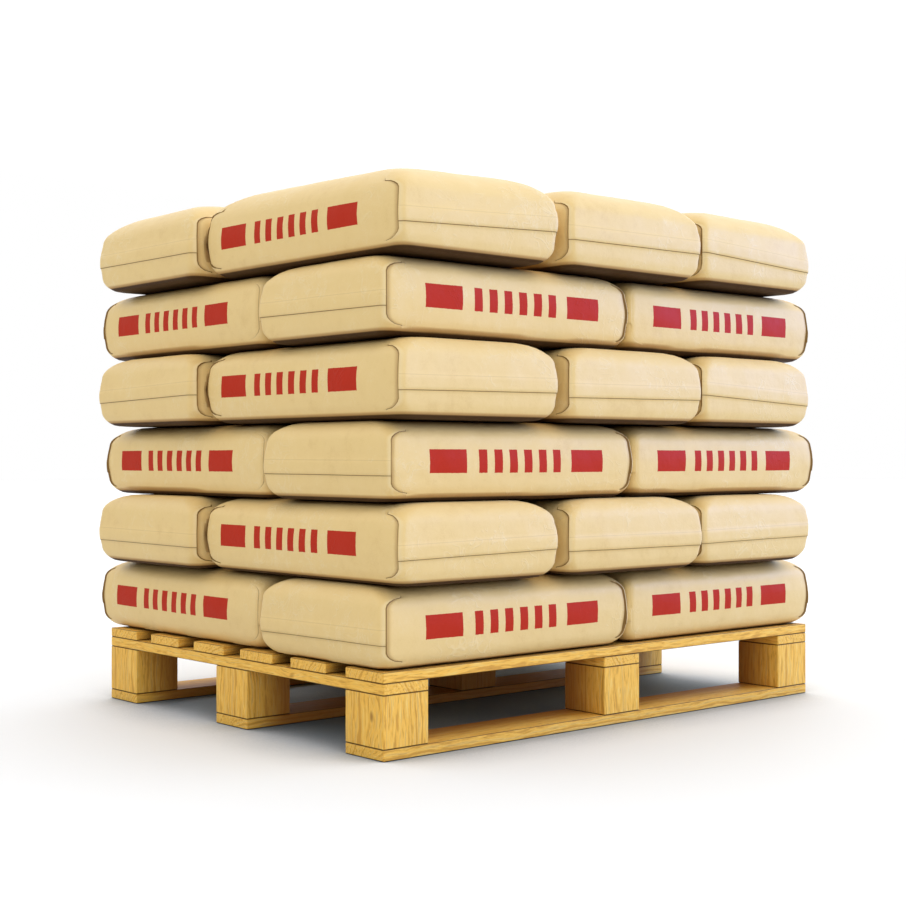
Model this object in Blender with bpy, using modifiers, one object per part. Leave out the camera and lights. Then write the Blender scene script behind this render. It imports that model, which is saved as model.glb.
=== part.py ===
"""Loaded pallet: thirty filled paper sacks in six crossed layers on a wooden four-way block pallet.

Metres, +Z up. The origin is on the floor under the middle of the pallet, +X runs along the
pallet's length, and the front is the side towards -Y. Every sack and every timber is its own solid.
"""

import math
import random

import bmesh
import bpy
from mathutils import Matrix

# Pallet
PALLET_LENGTH = 1.200
PALLET_WIDTH = 0.950
BOTTOM_BOARD_THICKNESS = 0.020
BLOCK_HEIGHT = 0.093
STRINGER_THICKNESS = 0.020
DECK_THICKNESS = 0.019
BLOCK_LENGTH = 0.101
BLOCK_WIDTH = 0.109
DECK_BOARDS = 6
TIMBER_EDGE = 0.0015
JOINT_GAP = 0.0003

# Filled sack: it lies flat, with round edges that are widest along the top of its long sides
SACK_LENGTH = 0.616
SACK_WIDTH = 0.386
SACK_HEIGHT = 0.1449
SIDE_BULGE = 0.003
UNDER_EDGE = {"end_reach": 0.038, "side_reach": 0.048, "drop": 0.036, "steps": 4}
UPPER_EDGE = {"end_reach": 0.045, "side_reach": 0.070, "drop": 0.042, "steps": 4}
CORNER_RADIUS = 0.015
CORNER_GROWTH = 0.50
CORNER_LIMIT = 0.85
CORNER_STEPS = 3

# A sack that carries nothing stands higher, in a crown that a load would press flat
CROWN_RISE = 0.018
CROWN_EDGE = {"end_reach": 0.110, "side_reach": 0.090, "drop": 0.062, "steps": 6}

# Stack: a row of two sacks along X beside a row of three sacks along Y, turned round each layer
LAYERS = 6
SACK_GAP = 0.0003
SETTLE_SHIFT = 0.0010
SETTLE_TURN = math.radians(0.20)
SETTLE_SEED = 7
# The third layer was set down a little to the front right of the others
LAYER_SHIFT = {3: (0.0067, -0.0059)}

# Colours are linear values
KRAFT_PAPER = (0.80, 0.62, 0.35, 1.0)
KRAFT_ROUGHNESS = 0.60
PINE = (0.72, 0.42, 0.13, 1.0)
PINE_ROUGHNESS = 0.55

# Centre of each sack in the two kinds of layer, and whether the sack is long along Y
ODD_LAYER = {
    "front_left": (-0.2960, -0.291, False),
    "front_right": (0.3185, -0.284, False),
    "back_left": (-0.402, 0.2217, True),
    "back_middle": (-0.004, 0.224, True),
    "back_right": (0.396, 0.224, True),
}
EVEN_LAYER = {
    "front_left": (-0.406, -0.209, True),
    "front_middle": (0.005, -0.209, True),
    "front_right": (0.384, -0.206, True),
    "back_left": (-0.318, 0.296, False),
    "back_right": (0.306, 0.303, False),
}
# Sacks pulled long, or squeezed against a neighbour: share of the usual length and width
PRESSED = {
    "odd front_left": (1.012, 1.0),
    "odd front_right": (0.97, 1.0),
    "odd back_left": (1.012, 1.0),
    "even front_right": (1.0, 0.943),
}

PALLET_TOP = (
    BOTTOM_BOARD_THICKNESS + BLOCK_HEIGHT + STRINGER_THICKNESS + DECK_THICKNESS + 3 * JOINT_GAP
)


def clear_scene():
    for obj in list(bpy.data.objects):
        bpy.data.objects.remove(obj, do_unlink=True)


def make_material(name, colour, roughness):
    material = bpy.data.materials.new(name)
    material.use_nodes = True
    shader = material.node_tree.nodes["Principled BSDF"]
    shader.inputs["Base Color"].default_value = colour
    shader.inputs["Roughness"].default_value = roughness
    shader.inputs["Metallic"].default_value = 0.0
    return material


def add_timber(name, size, centre):
    """A sawn board or block, with its arrises just broken."""
    bpy.ops.mesh.primitive_cube_add(size=1.0, location=centre)
    timber = bpy.context.active_object
    timber.name = name
    timber.data.name = name
    timber.data.transform(Matrix.Diagonal((*size, 1.0)))
    bevel = timber.modifiers.new("broken_arrises", "BEVEL")
    bevel.width = TIMBER_EDGE
    bevel.segments = 1
    bevel.limit_method = "ANGLE"
    timber.data.materials.append(make_material(f"{name}_pine", PINE, PINE_ROUGHNESS))


def rows(count, span, width):
    """Centres of equal members spread over a span, with the outer two flush with its ends."""
    pitch = (span - width) / (count - 1)
    return [(-span + width) / 2 + pitch * i for i in range(count)]


def build_pallet():
    sides = ("front", "middle", "back")
    ends = ("left", "middle", "right")
    block_rows = rows(3, PALLET_WIDTH, BLOCK_WIDTH)
    block_columns = rows(3, PALLET_LENGTH, BLOCK_LENGTH)

    level = BOTTOM_BOARD_THICKNESS / 2
    for side, y in zip(sides, block_rows):
        size = (PALLET_LENGTH, BLOCK_WIDTH, BOTTOM_BOARD_THICKNESS)
        add_timber(f"bottom_board_{side}", size, (0.0, y, level))

    level = BOTTOM_BOARD_THICKNESS + JOINT_GAP + BLOCK_HEIGHT / 2
    for side, y in zip(sides, block_rows):
        for end, x in zip(ends, block_columns):
            size = (BLOCK_LENGTH, BLOCK_WIDTH, BLOCK_HEIGHT)
            add_timber(f"block_{side}_{end}", size, (x, y, level))

    level += BLOCK_HEIGHT / 2 + JOINT_GAP + STRINGER_THICKNESS / 2
    for end, x in zip(ends, block_columns):
        size = (BLOCK_LENGTH, PALLET_WIDTH, STRINGER_THICKNESS)
        add_timber(f"stringer_{end}", size, (x, 0.0, level))

    level += STRINGER_THICKNESS / 2 + JOINT_GAP + DECK_THICKNESS / 2
    for number, y in enumerate(rows(DECK_BOARDS, PALLET_WIDTH, BLOCK_WIDTH), start=1):
        size = (PALLET_LENGTH, BLOCK_WIDTH, DECK_THICKNESS)
        add_timber(f"deck_board_{number}", size, (0.0, y, level))


def sack_outline(end_inset, side_inset):
    """Points around the sack's plan, drawn in from its ends and its long sides."""
    half_length = SACK_LENGTH / 2 - end_inset
    half_width = SACK_WIDTH / 2 - side_inset
    radius = min(CORNER_RADIUS + CORNER_GROWTH * side_inset, CORNER_LIMIT * half_width)
    corners = ((1, 1), (-1, 1), (-1, -1), (1, -1))
    points = []
    for quarter, (side_x, side_y) in enumerate(corners):
        centre_x = side_x * (half_length - radius)
        centre_y = side_y * (half_width - radius)
        for step in range(CORNER_STEPS + 1):
            angle = math.radians(90 * quarter + 90 * step / CORNER_STEPS)
            points.append((centre_x + radius * math.cos(angle), centre_y + radius * math.sin(angle)))
    return points


def rounded_edge(edge):
    """Both insets and the drop of the points around an edge, from the side to its flat face."""
    points = []
    for step in range(edge["steps"] + 1):
        angle = math.pi / 2 * step / edge["steps"]
        end, side = (
            SIDE_BULGE + (edge[reach] - SIDE_BULGE) * (1 - math.cos(angle))
            for reach in ("end_reach", "side_reach")
        )
        points.append((end, side, edge["drop"] * (1 - math.sin(angle))))
    return points


def sack_profile(crowned):
    """Both insets and the height of each outline of a sack, from its underside to its top."""
    upper, height = (CROWN_EDGE, SACK_HEIGHT + CROWN_RISE) if crowned else (UPPER_EDGE, SACK_HEIGHT)
    profile = list(reversed(rounded_edge(UNDER_EDGE)))
    profile.append((0.0, 0.0, SACK_HEIGHT / 2))
    profile += [(end, side, height - drop) for end, side, drop in rounded_edge(upper)]
    return profile


def make_sack_mesh(name, crowned):
    """A closed sack: outlines bridged one above the other and closed by a flat face at each end."""
    bm = bmesh.new()
    rings = []
    for end_inset, side_inset, height in sack_profile(crowned):
        outline = sack_outline(end_inset, side_inset)
        rings.append([bm.verts.new((x, y, height)) for x, y in outline])
    loops = [[bm.edges.new(pair) for pair in zip(ring, ring[1:] + ring[:1])] for ring in rings]
    for lower, upper in zip(loops, loops[1:]):
        bmesh.ops.bridge_loops(bm, edges=lower + upper)
    bm.faces.new(rings[0])
    bm.faces.new(rings[-1])
    bmesh.ops.recalc_face_normals(bm, faces=bm.faces)
    mesh = bpy.data.meshes.new(name)
    bm.to_mesh(mesh)
    bm.free()
    return mesh


def add_sack(name, mesh, location, turn, squeeze):
    sack = bpy.data.objects.new(name, mesh.copy())
    sack.data.transform(Matrix.Diagonal((*squeeze, 1.0, 1.0)))
    sack.data.name = name
    sack.location = location
    sack.rotation_euler = (0.0, 0.0, turn)
    sack.data.materials.append(make_material(f"{name}_kraft_paper", KRAFT_PAPER, KRAFT_ROUGHNESS))
    sack.data.shade_smooth()
    bpy.context.collection.objects.link(sack)


def build_sacks():
    settle = random.Random(SETTLE_SEED)
    pressed = make_sack_mesh("pressed_sack", crowned=False)
    crowned = make_sack_mesh("crowned_sack", crowned=True)
    for layer in range(1, LAYERS + 1):
        level = PALLET_TOP + SACK_GAP + (layer - 1) * (SACK_HEIGHT + SACK_GAP)
        mesh = crowned if layer == LAYERS else pressed
        kind, places = ("odd", ODD_LAYER) if layer % 2 else ("even", EVEN_LAYER)
        layer_x, layer_y = LAYER_SHIFT.get(layer, (0.0, 0.0))
        for place, (x, y, crosswise) in places.items():
            x += layer_x + settle.uniform(-SETTLE_SHIFT, SETTLE_SHIFT)
            y += layer_y + settle.uniform(-SETTLE_SHIFT, SETTLE_SHIFT)
            turn = settle.uniform(-SETTLE_TURN, SETTLE_TURN)
            turn += math.pi / 2 if crosswise else 0.0
            squeeze = PRESSED.get(f"{kind} {place}", (1.0, 1.0))
            add_sack(f"sack_{layer}_{place}", mesh, (x, y, level), turn, squeeze)


def open_collection(name):
    """A collection for the parts, made active so that every new object goes into it."""
    collection = bpy.data.collections.new(name)
    bpy.context.scene.collection.children.link(collection)
    layers = bpy.context.view_layer.layer_collection.children
    bpy.context.view_layer.active_layer_collection = layers[name]


def main():
    clear_scene()
    open_collection("pallet_of_sacks")
    build_pallet()
    build_sacks()


main()
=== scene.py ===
# %% [markdown]
# # A pallet of filled paper sacks
#
# Thirty paper valve sacks, each holding 50 kg of powder, lie in six crossed layers on a wooden
# four-way pallet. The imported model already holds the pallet's timbers and a plain solid for each
# sack. This lesson gives the timbers their pine, and folds, fills and prints the paper sacks.
# Everything is in metres, +Z is up, and the front of the pallet looks towards -Y.

# %% Load the frame
import math
import random

import bmesh
import bpy
from mathutils import Euler, Matrix, Vector, bvhtree, noise


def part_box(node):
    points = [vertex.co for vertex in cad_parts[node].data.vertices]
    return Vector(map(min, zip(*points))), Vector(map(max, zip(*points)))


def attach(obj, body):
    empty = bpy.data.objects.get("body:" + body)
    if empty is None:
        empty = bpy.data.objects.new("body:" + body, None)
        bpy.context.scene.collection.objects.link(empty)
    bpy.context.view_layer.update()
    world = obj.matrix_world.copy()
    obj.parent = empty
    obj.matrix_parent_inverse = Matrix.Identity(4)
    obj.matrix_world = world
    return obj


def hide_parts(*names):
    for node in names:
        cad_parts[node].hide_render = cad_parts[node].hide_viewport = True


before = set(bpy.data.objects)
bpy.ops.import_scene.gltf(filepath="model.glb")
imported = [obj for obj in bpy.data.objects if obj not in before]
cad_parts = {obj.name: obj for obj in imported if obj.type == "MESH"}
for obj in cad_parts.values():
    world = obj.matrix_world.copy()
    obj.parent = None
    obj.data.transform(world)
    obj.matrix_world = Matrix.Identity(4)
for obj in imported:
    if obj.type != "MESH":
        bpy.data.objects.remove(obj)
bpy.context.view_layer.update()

# %% [markdown]
# ## The camera
#
# The camera stands a little above half the stack's height and looks level at the near corner, so
# every upright edge stays upright in the picture. A level camera with a small vertical shift is
# how an architect's view is taken, and it keeps the lines of the stack parallel.

# %% Camera
CAMERA_PLACE = (-2.2455, -2.5392, 0.520)
CAMERA_TURN = -0.718
LENS_MM = 61.2
VERTICAL_SHIFT = 0.00968

camera_data = bpy.data.cameras.new("camera")
camera_data.sensor_width = 36.0
camera_data.lens = LENS_MM
camera_data.shift_y = VERTICAL_SHIFT
camera = bpy.data.objects.new("camera", camera_data)
camera.location = CAMERA_PLACE
camera.rotation_euler = (math.pi / 2, 0.0, CAMERA_TURN)
bpy.context.scene.collection.objects.link(camera)
bpy.context.scene.camera = camera

# %% [markdown]
# ## The shape of a filled sack
#
# A filled sack is a flat block of powder in a paper skin. Its sides stand nearly upright, and its
# upper and lower edges are rounded, widest along the top of the long sides, because powder slumps
# away from them. A sack with nothing on it swells into a crown, which a load would press flat.
#
# The skin could be a subdivided box, but its columns would then not follow the folds. A real sack is a
# sheet of paper rolled into a sleeve, so here a grid is rolled into a sleeve too: its columns run
# round the sack and its rows go from the underside to the top. A row or a column is put exactly
# where the paper has a fold, which makes every fold crisp at a low face count.

# %% Sizes of one sack
HALF_LENGTH, HALF_WIDTH = 0.308, 0.193
SACK_HEIGHT = 0.1449
MIDDLE_HEIGHT = SACK_HEIGHT / 2
SIDE_BULGE = 0.003
CORNER_RADIUS, CORNER_GROWTH, CORNER_LIMIT = 0.015, 0.50, 0.85

# Rounded edges: reach over the ends, reach over the long sides, and drop
UNDER_EDGE = (0.038, 0.048, 0.036)
UPPER_EDGE = (0.045, 0.070, 0.042)
CROWN_EDGE = (0.110, 0.090, 0.062)
CROWN_RISE = 0.018

# Folds: the flap of the closed end, and the crease where the end's paper wraps each corner
FLAP_HEIGHT, FLAP_DEPTH = 0.050, 0.026
FOLD_WIDTH = 0.0008
CREASE_HALF_HEIGHT = 0.037
CREASE_TIP_HEIGHT = 0.017

# %% [markdown]
# The profile is a list of rings. Each ring has a height and two insets, which say how far the ends
# and the long sides have drawn in from the widest outline. The rounded edges are quarter ellipses,
# and an angle round one is 0 at the side and 90 degrees on the flat face.

# %% Profile of the skin
def edge_ring(edge, angle, flat, away):
    """One ring of a rounded edge; away is the direction from its flat face towards the side."""
    a = math.radians(angle)
    end, side = (SIDE_BULGE + (reach - SIDE_BULGE) * (1 - math.cos(a)) for reach in edge[:2])
    return end, side, flat + away * edge[2] * (1 - math.sin(a))


def ring_at(height, upper, top):
    """The ring at a given height, on the side or on either rounded edge."""
    if height < UNDER_EDGE[2]:
        return edge_ring(UNDER_EDGE, math.degrees(math.asin(1 - height / UNDER_EDGE[2])), 0.0, 1)
    if height > top - upper[2]:
        return edge_ring(upper, math.degrees(math.asin(1 - (top - height) / upper[2])), top, -1)
    low, high = UNDER_EDGE[2], top - upper[2]
    inset = SIDE_BULGE * (1 - math.sin(math.pi * (height - low) / (high - low)))
    return inset, inset, height


def profile_rings(crowned):
    """Rings from the middle of the underside, up the side, to the middle of the top."""
    upper, top = (CROWN_EDGE, SACK_HEIGHT + CROWN_RISE) if crowned else (UPPER_EDGE, SACK_HEIGHT)
    flat = (HALF_WIDTH, HALF_WIDTH)
    rings = [(*flat, 0.0)]
    rings += [edge_ring(UNDER_EDGE, angle, 0.0, 1) for angle in (90, 78, 66, 56, 47, 39, 32)]
    tip = [CREASE_TIP_HEIGHT * math.sin(math.radians(a)) for a in (0, 20, 40, 62, 90)]
    heights = [MIDDLE_HEIGHT - CREASE_HALF_HEIGHT - t for t in reversed(tip)]
    heights += [0.0425, FLAP_HEIGHT - FOLD_WIDTH, FLAP_HEIGHT, 0.0560, 0.0625, 0.0695]
    heights += [FLAP_HEIGHT + FLAP_DEPTH, FLAP_HEIGHT + FLAP_DEPTH + FOLD_WIDTH]
    heights += [0.0840, 0.0920, 0.1005]
    heights += [MIDDLE_HEIGHT + CREASE_HALF_HEIGHT + t for t in tip]
    rings += [ring_at(height, upper, top) for height in heights]
    angles = (32, 40, 48, 56, 64, 72, 81, 90) if crowned else (42, 52, 63, 76, 90)
    rings += [edge_ring(upper, angle, top, -1) for angle in angles]
    rings.append((*flat, top))
    return rings


for crowned in (False, True):
    rings = profile_rings(crowned)
    print("crowned" if crowned else "pressed", "sack:", len(rings), "rings, top", rings[-1][2])

# %% [markdown]
# The columns are listed for one quarter of the outline, from the middle of a long side to the
# middle of an end: the panel up to the crease, the wrap from the crease round the corner, and the end.
# The crease lies on the corner's own arc, so columns are placed by their distance along the outline.
# The other quarters are mirrored from this one. Columns crowd together near the crease, where the
# paper bends most.

# %% Columns of the skin
PANEL_COLUMNS, WRAP_COLUMNS, END_COLUMNS = 38, 8, 20
# The crease beside a closed end: how open it is, how far in from the end, how far its tips reach
# along the panel, and half the width of its line of painted shade and dust
PLAIN_END = {"open": 1.0, "inset": 0.0070, "reach": 0.032, "line": 0.0012}
DEEP_END = {"open": 1.0, "inset": 0.0115, "reach": 0.012, "line": 0.0029}
PANEL, WRAP, END = 0, 1, 2


def crease_bend(height):
    """Share of its reach that the crease has bent from the end: none, then all at its tips."""
    over = max(0.0, abs(height - MIDDLE_HEIGHT) - CREASE_HALF_HEIGHT) / CREASE_TIP_HEIGHT
    return 1.0 if over >= 1.0 else 1 - math.sqrt(1 - over * over)


def quarter_outline(ring, end):
    """Points of a quarter outline as (kind, x, y, distance past the crease)."""
    end_inset, side_inset, height = ring
    half_length, half_width = HALF_LENGTH - end_inset, HALF_WIDTH - side_inset
    radius = min(CORNER_RADIUS + CORNER_GROWTH * side_inset, CORNER_LIMIT * half_width)
    arc_x, arc_y = half_length - radius, half_width - radius
    arc_end = arc_x + radius * math.pi / 2
    crease = half_length - end["inset"] - end["reach"] * crease_bend(height)
    if crease <= arc_x or abs(height - MIDDLE_HEIGHT) > CREASE_HALF_HEIGHT + CREASE_TIP_HEIGHT:
        crease = min(crease, arc_x - FOLD_WIDTH)
    else:
        crease = arc_x + radius * math.asin(min(0.94, (crease - arc_x) / radius))
    places = []
    for i in range(PANEL_COLUMNS):
        left = 1 - i / (PANEL_COLUMNS - 1)
        places.append((PANEL, (crease - FOLD_WIDTH) * (1 - left * (0.32 + 0.68 * left ** 0.6))))
    for i in range(WRAP_COLUMNS + 1):
        places.append((WRAP, crease + (arc_end - crease) * (i / WRAP_COLUMNS) ** 1.5))
    for i in range(1, END_COLUMNS + 1):
        places.append((END, arc_end + arc_y * i / END_COLUMNS))
    points = []
    for kind, place in places:
        if place <= arc_x:
            x, y = place, half_width
        elif place < arc_end:
            a = (place - arc_x) / radius
            x, y = arc_x + radius * math.sin(a), arc_y + radius * math.cos(a)
        else:
            x, y = half_length, arc_y - (place - arc_end)
        points.append((kind, x, y, place - crease))
    return points


def whole_outline(ring, ends):
    """Quarters mirrored into a closed outline, from the middle of the long side at +Y."""
    quarters = {-1: quarter_outline(ring, ends[0]), 1: quarter_outline(ring, ends[1])}
    outline = list(quarters[1])
    for sign_x, sign_y, backwards in ((1, -1, True), (-1, -1, False), (-1, 1, True)):
        part = [(kind, sign_x * x, sign_y * y, along) for kind, x, y, along in quarters[sign_x]]
        outline += reversed(part[:-1]) if backwards else part[1:]
    return outline


middle_ring = ring_at(MIDDLE_HEIGHT, UPPER_EDGE, SACK_HEIGHT)
print("columns", len(whole_outline(middle_ring, (PLAIN_END, PLAIN_END))) - 1)

# %% [markdown]
# ## Folds, and the slack of the paper
#
# At each closed end the flap is pasted down over the tube's bottom, so its lower edge stands a paper's
# thickness proud and runs straight across the end. The end's paper then wraps the corners and stops at
# the crease, and the long side's panel dips into that crease. Each fold is a push along the skin's
# own normal, worked out from how far a point is from the fold.

# %% Pushing the folds in and out
PANEL_DIP, PANEL_DIP_REACH = 0.0026, 0.009
WRAP_PROUD, WRAP_FADE = 0.0008, 0.020
FLAP_PROUD, SECOND_LINE_PROUD = 0.0012, 0.0004


def smooth(low, high, value):
    share = min(1.0, max(0.0, (value - low) / (high - low)))
    return share * share * (3 - 2 * share)


def crease_strength(height):
    """How open the crease is: fully over its upright part, less at its tips, and shut beyond."""
    over = (abs(height - MIDDLE_HEIGHT) - CREASE_HALF_HEIGHT) / CREASE_TIP_HEIGHT
    if over > 1.001:
        return 0.0
    return 1.0 - 0.5 * smooth(0.5, 1.0, over)


def fold_push(kind, along, height):
    """Push along the normal; along is the distance past the crease, negative on the panel."""
    strength = crease_strength(height)
    if kind == PANEL:
        return -PANEL_DIP * strength * math.exp(along / PANEL_DIP_REACH)
    return WRAP_PROUD * strength * math.exp(-along / WRAP_FADE)


def flap_push(height):
    """How far the pasted flap stands proud of the end."""
    above = height - FLAP_HEIGHT
    if not 0.0 <= above <= FLAP_DEPTH:
        return 0.0
    return FLAP_PROUD - (FLAP_PROUD - SECOND_LINE_PROUD) * above / FLAP_DEPTH


def slack(point, height, top, seed):
    """Sag and shallow dents of the filled paper, none where it is pressed against a neighbour."""
    where = Vector(point) + Vector((seed * 3.7, seed * 1.9, seed * 2.3))
    room = min(1.0, min(height, top - height + 0.004) / 0.022)
    sag = 0.0026 * noise.noise(where / 0.17)
    dents = 0.0013 * noise.noise(where / 0.060 + Vector((7.0, 0.0, 0.0)))
    ripple = 0.0006 * noise.noise(where / 0.022 + Vector((0.0, 9.0, 0.0)))
    return room * (sag + dents + ripple - 0.0006)


# %% [markdown]
# ## Rolling the sleeve
#
# The grid's own operator makes all the faces. Every point of it is then moved to its place on
# the skin, the sleeve's two edges are merged into one, and the rings that have shrunk to the
# middle line close the underside and the top. The paper's own UV map is laid out in metres, and
# holds the long sides' length and height, so the print can be put on it later.

# %% Sleeve
def roll_sleeve(crowned, ends, stretch, print_shift):
    """A closed skin; each vertex keeps its kind and its distance past the crease beside it."""
    rings = profile_rings(crowned)
    outlines = [whole_outline(ring, ends) for ring in rings]
    columns = len(outlines[0]) - 1
    bm = bmesh.new()
    bmesh.ops.create_grid(bm, x_segments=columns, y_segments=len(rings) - 1, size=1.0)
    along_of = bm.verts.layers.float.new("along")
    kind_of = bm.verts.layers.int.new("kind")
    for vert in bm.verts:
        column = round((vert.co.x + 1) / 2 * columns)
        row = round((vert.co.y + 1) / 2 * (len(rings) - 1))
        vert[kind_of], x, y, vert[along_of] = outlines[row][column]
        vert.co = (x, y, rings[row][2])
    uv = bm.loops.layers.uv.new("paper")
    for face in bm.faces:
        on_panel = all(loop.vert[kind_of] == PANEL for loop in face.loops)
        for loop in face.loops:
            x, y, height = loop.vert.co
            loop[uv].uv = (x * stretch - print_shift, height) if on_panel else (y + 1.0, height)
    bmesh.ops.remove_doubles(bm, verts=bm.verts, dist=1e-6)
    bmesh.ops.recalc_face_normals(bm, faces=bm.faces)
    return bm


test = roll_sleeve(False, (PLAIN_END, PLAIN_END), 1.0, 0.0)
print("sleeve", len(test.verts), "vertices", len(test.faces), "faces, open edges",
      sum(not edge.is_manifold for edge in test.edges))
test.free()

# %% [markdown]
# ## One sack
#
# Folds and slack are pushed out along the normals first. Then the end's flap is tilted, since no two
# sacks are closed quite alike, and a crowned top leans a little to one side. The powder at the foot
# of the sides sinks towards the sacks below, which makes the lower edges squarer. Facts go with
# every point for the material: how far it is past the crease, how open the crease is, and how high
# it is above the flap's edge.

# %% One sack
HANG = 0.0030


def make_sack(name, crowned, seed, lie, squeeze):
    """A folded sack lying along X, with the middle of its underside at the origin."""
    bm = roll_sleeve(crowned, lie["ends"], squeeze[0], lie["print_shift"])
    along_of = bm.verts.layers.float["along"]
    kind_of = bm.verts.layers.int["kind"]
    crease = bm.verts.layers.float_vector.new("crease")
    flap = bm.verts.layers.float_vector.new("flap")
    top = SACK_HEIGHT + (CROWN_RISE if crowned else 0.0)
    flap_rise = sum(lie["flap_line"]) / 2 - FLAP_HEIGHT
    flap_tilt = (lie["flap_line"][1] - lie["flap_line"][0]) / 2
    level, lean_x, lean_y = lie["lean"]
    bm.normal_update()
    moved = []
    for vert in bm.verts:
        x, y, height = vert.co
        on_end = 0.0 if vert[kind_of] == PANEL else 1.0
        end = lie["ends"][x > 0.0]
        place = vert.co + vert.normal * (
            end["open"] * fold_push(vert[kind_of], vert[along_of], height)
            + flap_push(height) * on_end + slack(vert.co, height, top, seed))
        near_flap = smooth(0.026, 0.046, height) * (1 - smooth(0.080, 0.105, height)) * on_end
        place.z += near_flap * (flap_rise + flap_tilt * y / HALF_WIDTH * math.copysign(1.0, x))
        place.z -= HANG * smooth(0.0, 0.006, height) * (1 - smooth(0.012, 0.045, height))
        if crowned:
            rise = level + lean_x * x / HALF_LENGTH + lean_y * y / HALF_WIDTH
            place.z += rise * smooth(0.060, 0.150, height)
        vert[crease] = (vert[along_of], crease_strength(height) * end["open"], end["line"])
        vert[flap] = (height - FLAP_HEIGHT, on_end * end["open"], 0.0)
        moved.append(place)
    for vert, place in zip(bm.verts, moved):
        vert.co = place
    bmesh.ops.scale(bm, vec=(*squeeze, 1.0), verts=bm.verts)
    mesh = bpy.data.meshes.new(name)
    bm.to_mesh(mesh)
    bm.free()
    mesh.attributes.remove(mesh.attributes["along"])
    mesh.attributes.remove(mesh.attributes["kind"])
    mesh.shade_smooth()
    sack = bpy.data.objects.new(name, mesh)
    bpy.context.scene.collection.objects.link(sack)
    return sack


# %% [markdown]
# Painted shade darkens the paper where two sacks come close. A ray from every point measures the
# way to the next solid, and that distance is kept with the point. The ray leans upright, because it
# is the sack above or below that shuts out most light, and light from above reaches a top before an
# underside, so a top counts as further away. The foot of a sack that overhangs the layer below it
# sees little but that layer, so its room is capped too. An ambient occlusion node could find gaps at
# render time, but it would slow every render, and it can't tell a top from an underside.

# %% Room in front of the skin
FAR_ENOUGH = 0.060
RAY_LEAN = 3.0
TOP_LIGHT, UNDER_SHADE, DECK_LIGHT = 2.0, 0.3, 4.0
FOOT = 0.022


def solids_except(node):
    """A search tree over every solid of the frame but one."""
    points, faces = [], []
    for name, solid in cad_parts.items():
        if name != node:
            faces += [[i + len(points) for i in polygon.vertices] for polygon in solid.data.polygons]
            points += [vertex.co for vertex in solid.data.vertices]
    return bvhtree.BVHTree.FromPolygons(points, faces)


def measure_room(sack, node):
    """Keeps, for every point of a sack, how much room there is in front of it."""
    others = solids_except(node)
    on_deck = node.startswith("sack_1")
    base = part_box(node)[0][2]
    rooms = []
    for vertex, normal in zip(sack.data.vertices, sack.data.vertex_normals):
        x, y, z = normal.vector
        distance = others.ray_cast(vertex.co, Vector((x, y, RAY_LEAN * z)), FAR_ENOUGH)[3]
        room = FAR_ENOUGH if distance is None else distance * (
            1.0 + z * (TOP_LIGHT if z > 0.0 else UNDER_SHADE))
        if z < 0.0:
            cap = FAR_ENOUGH * (max(0.0, vertex.co.z - base) / FOOT) ** 2
            room = room * DECK_LIGHT if on_deck else min(room, cap)
        rooms.append(room)
    sack.data.attributes.new("room", "FLOAT", "POINT").data.foreach_set("value", rooms)


# %% [markdown]
# ## Filling the stack
#
# Each sack takes the place of its plain solid. Where the real stack shows how a flap lies or where
# a print sits, its own numbers are used, and the others are drawn by chance with a fixed seed. A
# flap line is given by its height at its left and right end, seen from outside the sack.

# %% Fill the stack
FLAP_LINES = {
    "sack_6_front_left": (0.045, 0.062),
    "sack_6_front_middle": (0.052, 0.056),
    "sack_6_front_right": (0.063, 0.047),
    "sack_5_front_left": (0.053, 0.049),
    "sack_4_front_middle": (0.046, 0.050),
    "sack_4_front_right": (0.062, 0.046),
    "sack_4_back_left": (0.051, 0.059),
    "sack_3_front_left": (0.049, 0.047),
    "sack_1_front_left": (0.042, 0.047),
}
LEANS = {"sack_6_front_left": (0.003, 0.0065, -0.006)}
PRINT_SHIFTS = {
    "even front_left": 0.030,
    "odd back_left": 0.0190,
    "odd front_left": 0.0015,
    "odd front_right": -0.010,
}
# Ends towards -X or -Y, then those towards +X or +Y. Where two sacks butt together, the crease is
# squashed shut.
ENDS = {
    "odd front_left": (PLAIN_END, DEEP_END),
    "odd front_right": ({**PLAIN_END, "open": 0.1}, DEEP_END),
    "odd back_left": ({**PLAIN_END, "open": 0.25}, DEEP_END),
    "even front_left": (PLAIN_END, {**PLAIN_END, "inset": 0.0035, "line": 0.0018}),
    "even back_left": ({**PLAIN_END, "inset": 0.0125, "line": 0.0018}, PLAIN_END),
}
# A solid's box is this much larger than the sack in it, which lies turned by a fraction of a degree
TURN_ROOM = 0.0015

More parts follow.
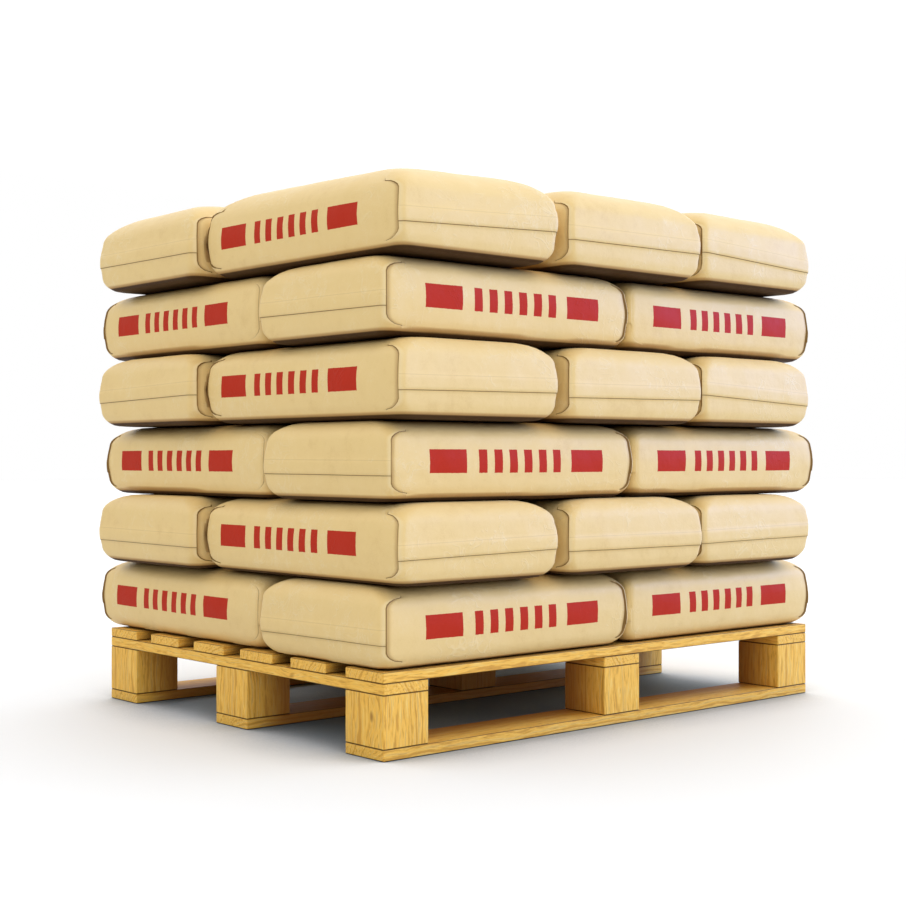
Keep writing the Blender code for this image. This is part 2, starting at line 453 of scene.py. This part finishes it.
sacks = []
chance = random.Random(11)
for node in sorted(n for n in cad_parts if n.startswith("sack_")):
    low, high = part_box(node)
    size = [b - a for a, b in zip(low, high)]
    lengthwise = size[0] > size[1]
    kind = ("odd " if int(node[5]) % 2 else "even ") + node[7:]
    flap_line = [0.050 + chance.uniform(-0.005, 0.005) for _ in range(2)]
    lean = (0.0, chance.uniform(-0.002, 0.002), chance.uniform(-0.002, 0.002))
    lie = {
        "flap_line": FLAP_LINES.get(node, flap_line),
        "lean": LEANS.get(node, lean),
        "print_shift": PRINT_SHIFTS.get(kind, 0.0) + chance.uniform(-0.001, 0.001),
        "ends": ENDS.get(kind, (PLAIN_END, PLAIN_END)),
    }
    long, wide = (size[0], size[1]) if lengthwise else (size[1], size[0])
    squeeze = ((long - TURN_ROOM) / (2 * HALF_LENGTH), (wide - TURN_ROOM) / (2 * HALF_WIDTH))
    crowned = size[2] > SACK_HEIGHT + CROWN_RISE / 2
    piece = make_sack(f"paper_{node}", crowned, len(sacks) + 1, lie, squeeze)
    middle = ((low[0] + high[0]) / 2, (low[1] + high[1]) / 2, low[2])
    turn = Matrix.Rotation(0.0 if lengthwise else math.pi / 2, 4, "Z")
    piece.data.transform(Matrix.Translation(middle) @ turn)
    measure_room(piece, node)
    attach(piece, "root")
    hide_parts(node)
    sacks.append(piece)
print(len(sacks), "sacks,", sum(len(s.data.polygons) for s in sacks), "faces")

# %% [markdown]
# ## Node helpers
#
# Materials are built from nodes. A few small helpers keep each line readable: one adds a node, sets
# its options and plugs in its inputs, and the last opens a group with named sockets.

# %% Node helpers
def put(tree, kind, settings=(), **inputs):
    """Adds a node. Inputs are given by name or as i0, i1 ... and may be values or sockets."""
    made = tree.nodes.new(kind)
    for key, value in dict(settings).items():
        setattr(made, key, value)
    for key, value in inputs.items():
        number = key[0] == "i" and key[1:].isdigit()
        socket = made.inputs[int(key[1:])] if number else made.inputs[key.replace("_", " ")]
        if isinstance(value, bpy.types.NodeSocket):
            tree.links.new(value, socket)
        else:
            socket.default_value = value
    return made


def maths(tree, operation, *values):
    inputs = {f"i{i}": value for i, value in enumerate(values)}
    return put(tree, "ShaderNodeMath", {"operation": operation}, **inputs).outputs[0]


def vector_maths(tree, operation, *values):
    inputs = {f"i{i}": value for i, value in enumerate(values)}
    return put(tree, "ShaderNodeVectorMath", {"operation": operation}, **inputs).outputs


def ramp(tree, value, low, high, to_low=0.0, to_high=1.0):
    settings = {"interpolation_type": "SMOOTHSTEP"}
    return put(tree, "ShaderNodeMapRange", settings, Value=value, i1=low, i2=high,
               i3=to_low, i4=to_high).outputs[0]


def mix(tree, factor, first, second):
    settings = {"data_type": "RGBA", "clamp_factor": True}
    return put(tree, "ShaderNodeMix", settings, i0=factor, i6=first, i7=second).outputs[2]


def grain(tree, place, scale, detail=2.0, roughness=0.5, distortion=0.0):
    return put(tree, "ShaderNodeTexNoise", Vector=place, Scale=scale, Detail=detail,
               Roughness=roughness, Distortion=distortion).outputs


def open_group(name, sockets):
    """A new shader group; sockets are (direction, name, type)."""
    group = bpy.data.node_groups.new(name, "ShaderNodeTree")
    for direction, label, kind in sockets:
        group.interface.new_socket(label, in_out=direction, socket_type=f"NodeSocket{kind}")
    return group, group.nodes.new("NodeGroupInput"), group.nodes.new("NodeGroupOutput")


def add_group(tree, name, **inputs):
    return put(tree, "ShaderNodeGroup", {"node_tree": bpy.data.node_groups[name]}, **inputs).outputs


# %% [markdown]
# ## Kraft paper
#
# Kraft paper is made from unbleached wood fibre. Close up it is full of short fibres, from a step
# away it is softly mottled, and a filled sack also carries fine crumple lines where the paper has
# been bent and pulled straight again. A crumple line follows the ridge of a warped noise, and shows
# only in patches, because a sack crumples where it was gripped or dropped.

# %% Group: crumpled fibres
group, into, out = open_group("crumpled_fibres", [
    ("INPUT", "Vector", "Vector"),
    ("OUTPUT", "Shade", "Float"),
    ("OUTPUT", "Crumple", "Float"),
    ("OUTPUT", "Height", "Float"),
])
where = into.outputs["Vector"]
mottle = grain(group, where, 7.5, 3.0, 0.6)
patch = grain(group, where, 46.0, 3.0, 0.6)
fibre = grain(group, where, 560.0, 1.0, 0.6)
bent = grain(group, where, 21.0, 2.0, 0.6, 0.9)
ridge = maths(group, "ABSOLUTE", maths(group, "SUBTRACT", bent["Fac"], 0.5))
ridge = ramp(group, ridge, 0.0, 0.022, 1.0, 0.0)
crumple = maths(group, "MULTIPLY", ridge, ramp(group, mottle["Fac"], 0.49, 0.60))
group.links.new(crumple, out.inputs["Crumple"])
shade = maths(group, "MULTIPLY_ADD", maths(group, "SUBTRACT", mottle["Fac"], 0.5), 0.65, 0.5)
shade = maths(group, "MULTIPLY_ADD", maths(group, "SUBTRACT", patch["Fac"], 0.5), 0.45, shade)
shade = maths(group, "MULTIPLY_ADD", maths(group, "SUBTRACT", fibre["Fac"], 0.5), 0.35, shade)
group.links.new(shade, out.inputs["Shade"])
tall = maths(group, "MULTIPLY_ADD", crumple, 0.40, patch["Fac"])
tall = maths(group, "MULTIPLY_ADD", fibre["Fac"], 0.05, tall)
group.links.new(tall, out.inputs["Height"])
print("crumpled_fibres:", len(group.nodes), "nodes")

# %% [markdown]
# The print sits half-way up both long sides: two plain blocks of red ink with a row of six bars
# between them. It is drawn from the paper's own UV map, which is in metres, so it stays put when a
# sack is turned. Ink on rough paper has slightly ragged edges, so a little noise bends the map.

# %% Group: printed marks
PRINT_LOW, PRINT_HIGH = 0.0515, 0.0940
BLOCK_NEAR, BLOCK_FAR = 0.132, 0.218
BAR_PITCH, BAR_WIDTH, BAR_ROW = 0.0372, 0.0200, 0.1116
INK_EDGE = 0.0003

group, into, out = open_group("printed_marks", [("OUTPUT", "Ink", "Float")])
place = put(group, "ShaderNodeUVMap", {"uv_map": "paper"}).outputs[0]
ragged = vector_maths(group, "MULTIPLY_ADD", grain(group, place, 420.0, 1.0)["Color"],
                      (0.0011, 0.0011, 0.0), place)[0]
parts = put(group, "ShaderNodeSeparateXYZ", Vector=ragged).outputs
along = maths(group, "ABSOLUTE", maths(group, "SUBTRACT", parts[0], 0.0005))


def between(tree, value, low, high):
    above = ramp(tree, value, low - INK_EDGE, low + INK_EDGE)
    return maths(tree, "MULTIPLY", above, ramp(tree, value, high - INK_EDGE, high + INK_EDGE, 1.0, 0.0))


blocks = between(group, along, BLOCK_NEAR, BLOCK_FAR)
step = maths(group, "PINGPONG", along, BAR_PITCH / 2)
bars = between(group, step, (BAR_PITCH - BAR_WIDTH) / 2, BAR_PITCH)
bars = maths(group, "MULTIPLY", bars, maths(group, "LESS_THAN", along, BAR_ROW))
ink = maths(group, "MULTIPLY", maths(group, "MAXIMUM", blocks, bars),
            between(group, parts[1], PRINT_LOW, PRINT_HIGH))
group.links.new(ink, out.inputs["Ink"])

# %% [markdown]
# Painted shade, with some dust, marks each fold. This group reads how far each point is from the
# crease and from the flap's edge, and gives a fine line of painted shade and dust on the fold, a
# soft painted shade beside the crease where the panel dips, and a painted highlight on the wrap's
# round edge. It also says how near another sack is, for a painted shade in a narrow gap, where
# little light gets in.

# %% Group: fold lines
group, into, out = open_group("fold_lines", [
    ("OUTPUT", "Line", "Float"),
    ("OUTPUT", "Shade", "Float"),
    ("OUTPUT", "Rubbed", "Float"),
    ("OUTPUT", "Gap", "Float"),
])
crease = put(group, "ShaderNodeAttribute", {"attribute_name": "crease"}).outputs["Vector"]
crease = put(group, "ShaderNodeSeparateXYZ", Vector=crease).outputs
flap = put(group, "ShaderNodeAttribute", {"attribute_name": "flap"}).outputs["Vector"]
flap = put(group, "ShaderNodeSeparateXYZ", Vector=flap).outputs


def line_at(tree, value, centre, half):
    off = maths(tree, "ABSOLUTE", maths(tree, "SUBTRACT", value, centre))
    return ramp(tree, maths(tree, "DIVIDE", off, half), 0.4, 1.5, 1.0, 0.0)


# A fine line of painted shade and dust on the crease, on the flap's edge and, faintly, on the edge above it
crease_line = maths(group, "MULTIPLY", line_at(group, crease[0], -0.0004, crease[2]),
                    ramp(group, crease[1], 0.05, 0.40))
flap_line = maths(group, "MULTIPLY", line_at(group, flap[0], -0.0004, 0.0008), flap[1])
second = maths(group, "MULTIPLY", line_at(group, flap[0], FLAP_DEPTH + 0.0004, 0.0008),
               maths(group, "MULTIPLY", flap[1], 0.16))
line = maths(group, "MAXIMUM", maths(group, "MAXIMUM", crease_line, flap_line), second)
group.links.new(line, out.inputs["Line"])
# Painted shade on the panel beside the crease, where it dips
on_panel = maths(group, "MULTIPLY", maths(group, "LESS_THAN", crease[0], 0.0), crease[1])
shade = maths(group, "MULTIPLY", ramp(group, crease[0], -0.012, -0.001), on_panel)
group.links.new(shade, out.inputs["Shade"])
# Painted highlight: a pale band on the wrap's round edge beside the crease
on_wrap = maths(group, "MULTIPLY", maths(group, "GREATER_THAN", crease[0], 0.0015), crease[1])
painted_highlight = maths(group, "MULTIPLY", ramp(group, crease[0], 0.003, 0.012, 1.0, 0.0), on_wrap)
group.links.new(painted_highlight, out.inputs["Rubbed"])
# Gap: painted shade where another sack is near
room = put(group, "ShaderNodeAttribute", {"attribute_name": "room"}).outputs["Fac"]
group.links.new(ramp(group, room, 0.0, 0.035, 1.0, 0.0), out.inputs["Gap"])

# %% Kraft paper
KRAFT = (0.840, 0.610, 0.255, 1.0)
KRAFT_DARK = (0.760, 0.525, 0.205, 1.0)
KRAFT_PALE = (0.900, 0.725, 0.420, 1.0)
FOLD_SHADE_AND_DUST = (0.190, 0.095, 0.020, 1.0)
SHADE_TAN = (0.360, 0.175, 0.050, 1.0)
GAP_SHADE_DARK = (0.035, 0.013, 0.004, 1.0)
INK_RED = (0.490, 0.013, 0.001, 1.0)

paper = bpy.data.materials.new("kraft_paper")
paper.use_nodes = True
tree = paper.node_tree
shader = tree.nodes["Principled BSDF"]
position = put(tree, "ShaderNodeTexCoord").outputs["Object"]
fibres = add_group(tree, "crumpled_fibres", Vector=position)
marks = add_group(tree, "printed_marks")
folds = add_group(tree, "fold_lines")
colour = mix(tree, ramp(tree, fibres["Shade"], 0.15, 0.50), KRAFT_DARK, KRAFT)
colour = mix(tree, ramp(tree, fibres["Shade"], 0.52, 0.95), colour, KRAFT_PALE)
colour = mix(tree, maths(tree, "MULTIPLY", fibres["Crumple"], 0.30), colour, KRAFT_PALE)
# Painted highlight on the wrap's round edge
colour = mix(tree, maths(tree, "MULTIPLY", folds["Rubbed"], 0.50), colour, KRAFT_PALE)
worn = maths(tree, "MULTIPLY", marks["Ink"], ramp(tree, fibres["Shade"], 0.70, 0.95, 0.98, 0.75))
colour = mix(tree, worn, colour, INK_RED)
# Painted shade beside the crease, where the panel dips
colour = mix(tree, maths(tree, "MULTIPLY", folds["Shade"], 0.45), colour, SHADE_TAN)
# Painted shade and dust along the crease and the flap's edge
colour = mix(tree, maths(tree, "MULTIPLY", folds["Line"], 0.85), colour, FOLD_SHADE_AND_DUST)
# Painted shade in the gaps between sacks, tan and then nearly black where another sack is closest
colour = mix(tree, ramp(tree, folds["Gap"], 0.15, 0.85, 0.0, 0.75), colour, SHADE_TAN)
colour = mix(tree, ramp(tree, folds["Gap"], 0.80, 0.95, 0.0, 0.95), colour, GAP_SHADE_DARK)
tree.links.new(colour, shader.inputs["Base Color"])
tree.links.new(ramp(tree, fibres["Shade"], 0.2, 0.8, 0.50, 0.62), shader.inputs["Roughness"])
dull = maths(tree, "MAXIMUM", maths(tree, "MULTIPLY", worn, 0.8),
             maths(tree, "MAXIMUM", folds["Gap"], folds["Line"]))
tree.links.new(ramp(tree, dull, 0.0, 1.0, 0.70, 0.0), shader.inputs["Coat Weight"])
shader.inputs["Coat Roughness"].default_value = 0.50
bump = put(tree, "ShaderNodeBump", Height=fibres["Height"], Distance=0.0022, Strength=0.5)
tree.links.new(bump.outputs[0], shader.inputs["Normal"])
shader.inputs["Specular IOR Level"].default_value = 0.10
for sack in sacks:
    sack.data.materials.append(paper)
print("kraft_paper on", len(sacks), "sacks")

# %% [markdown]
# ## Pine
#
# The pallet is sawn pine. Its yearly rings lie round a pith that is somewhere outside the timber,
# so they show as long wavering lines on the sides and as arcs on the cut ends. Ring widths differ
# from year to year, so the rings come from a one-dimensional noise over the distance from the pith.
# Fine streaks and short dark resin ducts run along the grain, and a knot bends the rings round it.

# %% Group: sawn pine
group, into, out = open_group("sawn_pine", [
    ("INPUT", "Vector", "Vector"),
    ("OUTPUT", "Late wood", "Float"),
    ("OUTPUT", "Tone", "Float"),
    ("OUTPUT", "Duct", "Float"),
    ("OUTPUT", "Knot", "Float"),
    ("OUTPUT", "Height", "Float"),
])
where = into.outputs["Vector"]
drawn = vector_maths(group, "MULTIPLY", where, (5.0, 14.0, 14.0))[0]
wander = vector_maths(group, "SUBTRACT", grain(group, drawn, 1.7, 2.0)["Color"], (0.5, 0.5, 0.5))[0]
bent = vector_maths(group, "MULTIPLY_ADD", wander, (0.0, 0.020, 0.020), where)[0]
cells = put(group, "ShaderNodeTexVoronoi", Vector=vector_maths(group, "MULTIPLY", bent, (0.6, 1.0, 1.0))[0],
            Scale=8.0).outputs["Distance"]
knot = ramp(group, cells, 0.050, 0.085, 1.0, 0.0)
group.links.new(knot, out.inputs["Knot"])
pith_gap = vector_maths(group, "LENGTH", vector_maths(group, "MULTIPLY", bent, (0.0, 1.0, 1.0))[0])["Value"]
pith_gap = maths(group, "MULTIPLY_ADD", ramp(group, cells, 0.05, 0.30, 1.0, 0.0), 0.010, pith_gap)
years = put(group, "ShaderNodeTexNoise", {"noise_dimensions": "1D"}, W=pith_gap, Scale=190.0,
            Detail=1.0).outputs["Fac"]
late = ramp(group, years, 0.50, 0.66)
streak = grain(group, vector_maths(group, "MULTIPLY", bent, (24.0, 210.0, 210.0))[0], 1.0, 3.0, 0.6)["Fac"]
late = maths(group, "MULTIPLY", late, ramp(group, streak, 0.35, 0.65, 0.05, 1.0))
group.links.new(late, out.inputs["Late wood"])
group.links.new(maths(group, "ADD", maths(group, "MULTIPLY", streak, 0.55),
                      maths(group, "MULTIPLY", years, 0.45)), out.inputs["Tone"])
ducts = grain(group, vector_maths(group, "MULTIPLY", where, (38.0, 560.0, 560.0))[0], 1.0, 1.0)["Fac"]
group.links.new(ramp(group, ducts, 0.66, 0.76), out.inputs["Duct"])
group.links.new(maths(group, "MULTIPLY_ADD", late, 0.5, streak), out.inputs["Height"])

# %% [markdown]
# Each timber is cut from its own place in the log, so the pith is put at its own place beside every
# timber. The grain runs along each board, and upright in the blocks. The joints between timbers
# hold dirt, and painted shade darkens the sawn edges beside them too. More painted shade darkens
# the timbers under the deck and wherever an ambient occlusion node finds them hemmed in.

# %% Pine for each timber
EARLY_WOOD = (0.940, 0.540, 0.088, 1.0)
PALE_WOOD = (0.970, 0.680, 0.190, 1.0)
LATE_WOOD = (0.600, 0.270, 0.034, 1.0)
DARK_TONE = (0.690, 0.355, 0.055, 1.0)
KNOT_BROWN = (0.230, 0.080, 0.018, 1.0)
UNDER_DECK_SHADE = (0.300, 0.090, 0.010, 1.0)
JOINT_DIRT_AND_SHADE = (0.070, 0.030, 0.004, 1.0)
ALONG_X, ALONG_Y, UPRIGHT = (0.0, 0.0, 0.0), (0.0, 0.0, math.pi / 2), (0.0, math.pi / 2, 0.0)
PALLET_HALF = (0.600, 0.475)
DECK_UNDERSIDE = 0.1334


def pine(name, direction):
    material = bpy.data.materials.new(f"pine_{name}")
    material.use_nodes = True
    tree = material.node_tree
    shader = tree.nodes["Principled BSDF"]
    low, high = (Vector(corner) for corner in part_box(name))
    pith = Vector((chance.uniform(-3.0, 3.0), chance.uniform(0.05, 0.16), chance.uniform(0.03, 0.10)))
    shift = pith - Euler(direction).to_matrix() @ ((low + high) / 2)
    position = put(tree, "ShaderNodeTexCoord").outputs["Object"]
    cut = put(tree, "ShaderNodeMapping", Vector=position, Rotation=direction, Location=shift)
    wood = add_group(tree, "sawn_pine", Vector=cut.outputs[0])
    colour = mix(tree, ramp(tree, wood["Tone"], 0.38, 0.50), DARK_TONE, EARLY_WOOD)
    colour = mix(tree, ramp(tree, wood["Tone"], 0.48, 0.66), colour, PALE_WOOD)
    colour = mix(tree, maths(tree, "MULTIPLY", wood["Late wood"], 0.60), colour, LATE_WOOD)
    colour = mix(tree, maths(tree, "MULTIPLY", wood["Duct"], 0.45), colour, KNOT_BROWN)
    colour = mix(tree, maths(tree, "MULTIPLY", wood["Knot"], 0.75), colour, KNOT_BROWN)
    across, back, height = put(tree, "ShaderNodeSeparateXYZ", Vector=position).outputs
    # Painted shade: timbers below the deck darken the further in they lie from the pallet's outline
    inward = maths(tree, "MINIMUM",
                   maths(tree, "SUBTRACT", PALLET_HALF[0], maths(tree, "ABSOLUTE", across)),
                   maths(tree, "SUBTRACT", PALLET_HALF[1], maths(tree, "ABSOLUTE", back)))
    under_deck_shade = maths(tree, "MULTIPLY", ramp(tree, inward, 0.003, 0.100, 0.0, 0.80),
                 maths(tree, "LESS_THAN", height, DECK_UNDERSIDE))
    colour = mix(tree, under_deck_shade, colour, UNDER_DECK_SHADE)
    # Painted shade: an ambient occlusion node darkens each timber where others hem it in
    ao_shade = put(tree, "ShaderNodeAmbientOcclusion", {"samples": 6}, Distance=0.08).outputs["AO"]
    colour = mix(tree, ramp(tree, ao_shade, 0.10, 0.45, 0.85, 0.0), colour, JOINT_DIRT_AND_SHADE)
    # Dirt and painted shade along the upper and lower edges of each timber's sides, at its joints
    edge = maths(tree, "MINIMUM", maths(tree, "SUBTRACT", height, low.z),
                 maths(tree, "SUBTRACT", high.z, height))
    up = put(tree, "ShaderNodeSeparateXYZ", Vector=put(tree, "ShaderNodeNewGeometry").outputs["Normal"])
    on_side = maths(tree, "LESS_THAN", maths(tree, "ABSOLUTE", up.outputs[2]), 0.9)
    joint = maths(tree, "MULTIPLY", ramp(tree, edge, 0.0004, 0.0017, 0.85, 0.0), on_side)
    colour = mix(tree, joint, colour, JOINT_DIRT_AND_SHADE)
    tree.links.new(colour, shader.inputs["Base Color"])
    tree.links.new(ramp(tree, wood["Late wood"], 0.0, 1.0, 0.58, 0.42), shader.inputs["Roughness"])
    shader.inputs["Specular IOR Level"].default_value = 0.25
    bump = put(tree, "ShaderNodeBump", Height=wood["Height"], Distance=0.0007, Strength=0.6)
    tree.links.new(bump.outputs[0], shader.inputs["Normal"])
    return material


timbers = sorted(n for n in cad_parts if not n.startswith("sack_"))
for name in timbers:
    direction = ALONG_Y if name.startswith("stringer") else ALONG_X
    if name.startswith("block"):
        direction = UPRIGHT
    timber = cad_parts[name]
    timber.data.materials.clear()
    timber.data.materials.append(pine(name, direction))
print("pine on", len(timbers), "timbers")

# %% [markdown]
# ## Floor and light
#
# The stack stands on a plain white floor in a white room, as for a catalogue. Seen by the camera,
# floor and walls burn out to white, and a painted shadow darkens the floor under and round the
# pallet. The light they send is stronger from above than from low down, so the timbers under the
# deck and the gaps between sacks keep their depth. A cool soft box at the right, as a window gives,
# washes the front sides of the sacks paler than their left sides.

# %% Floor and light
FLOOR_SEEN, FLOOR_BOUNCE = (0.94, 0.96, 0.99, 1.0), (0.74, 0.76, 0.79, 1.0)
FLOOR_SHADOW_PAINT = (0.16, 0.23, 0.30, 1.0)
LOW_LIGHT, HIGH_LIGHT, ZENITH_LIGHT = 0.50, 1.45, 1.10
LIGHT_SLOPE = (0.34, 0.0, 0.0)
BOX_PLACE, BOX_TARGET = Vector((3.9, -2.5, 1.8)), Vector((0.2, -0.5, 0.75))
BOX_SIZE, BOX_WATTS = (2.6, 2.0), 125.0
BOX_COLOUR = (0.07, 0.27, 1.0)

bpy.ops.mesh.primitive_plane_add(size=60.0, location=(0.0, 0.0, -0.0005))
floor = bpy.context.active_object
floor.name = "floor"
white = bpy.data.materials.new("white_floor")
white.use_nodes = True
tree = white.node_tree
seen = put(tree, "ShaderNodeLightPath").outputs["Is Camera Ray"]
# Painted shadow: an ambient occlusion node darkens the floor under and around the pallet
open_sky = put(tree, "ShaderNodeAmbientOcclusion", {"samples": 8}, Distance=0.25).outputs["AO"]
colour = mix(tree, seen, FLOOR_BOUNCE, FLOOR_SEEN)
colour = mix(tree, ramp(tree, open_sky, 0.25, 0.90), FLOOR_SHADOW_PAINT, colour)
tree.links.new(colour, tree.nodes["Principled BSDF"].inputs["Base Color"])
tree.nodes["Principled BSDF"].inputs["Roughness"].default_value = 0.7
floor.data.materials.append(white)

world = bpy.data.worlds.new("white_room")
world.use_nodes = True
tree = world.node_tree
background = tree.nodes["Background"]
background.inputs["Color"].default_value = (1.0, 1.0, 1.0, 1.0)
way = put(tree, "ShaderNodeTexCoord").outputs["Generated"]
rise = put(tree, "ShaderNodeSeparateXYZ", Vector=way).outputs[2]
light = maths(tree, "MINIMUM", ramp(tree, rise, -0.02, 0.45, LOW_LIGHT, HIGH_LIGHT),
              ramp(tree, rise, 0.45, 0.95, HIGH_LIGHT, ZENITH_LIGHT))
light = maths(tree, "ADD", light, vector_maths(tree, "DOT_PRODUCT", way, LIGHT_SLOPE)["Value"])
seen = put(tree, "ShaderNodeLightPath").outputs["Is Camera Ray"]
tree.links.new(maths(tree, "MAXIMUM", light, seen), background.inputs["Strength"])
bpy.context.scene.world = world
bpy.context.scene.view_settings.view_transform = "Standard"

box_data = bpy.data.lights.new("soft_box", "AREA")
box_data.shape = "RECTANGLE"
box_data.size, box_data.size_y = BOX_SIZE
box_data.energy = BOX_WATTS
box_data.color = BOX_COLOUR
box = bpy.data.objects.new("soft_box", box_data)
box.location = BOX_PLACE
box.rotation_euler = (BOX_PLACE - BOX_TARGET).to_track_quat("Z", "Y").to_euler()
bpy.context.scene.collection.objects.link(box)
unlit = bpy.data.collections.new("not_lit_by_the_soft_box")
unlit.objects.link(floor)
unlit.collection_objects[0].light_linking.link_state = "EXCLUDE"
box.light_linking.receiver_collection = unlit
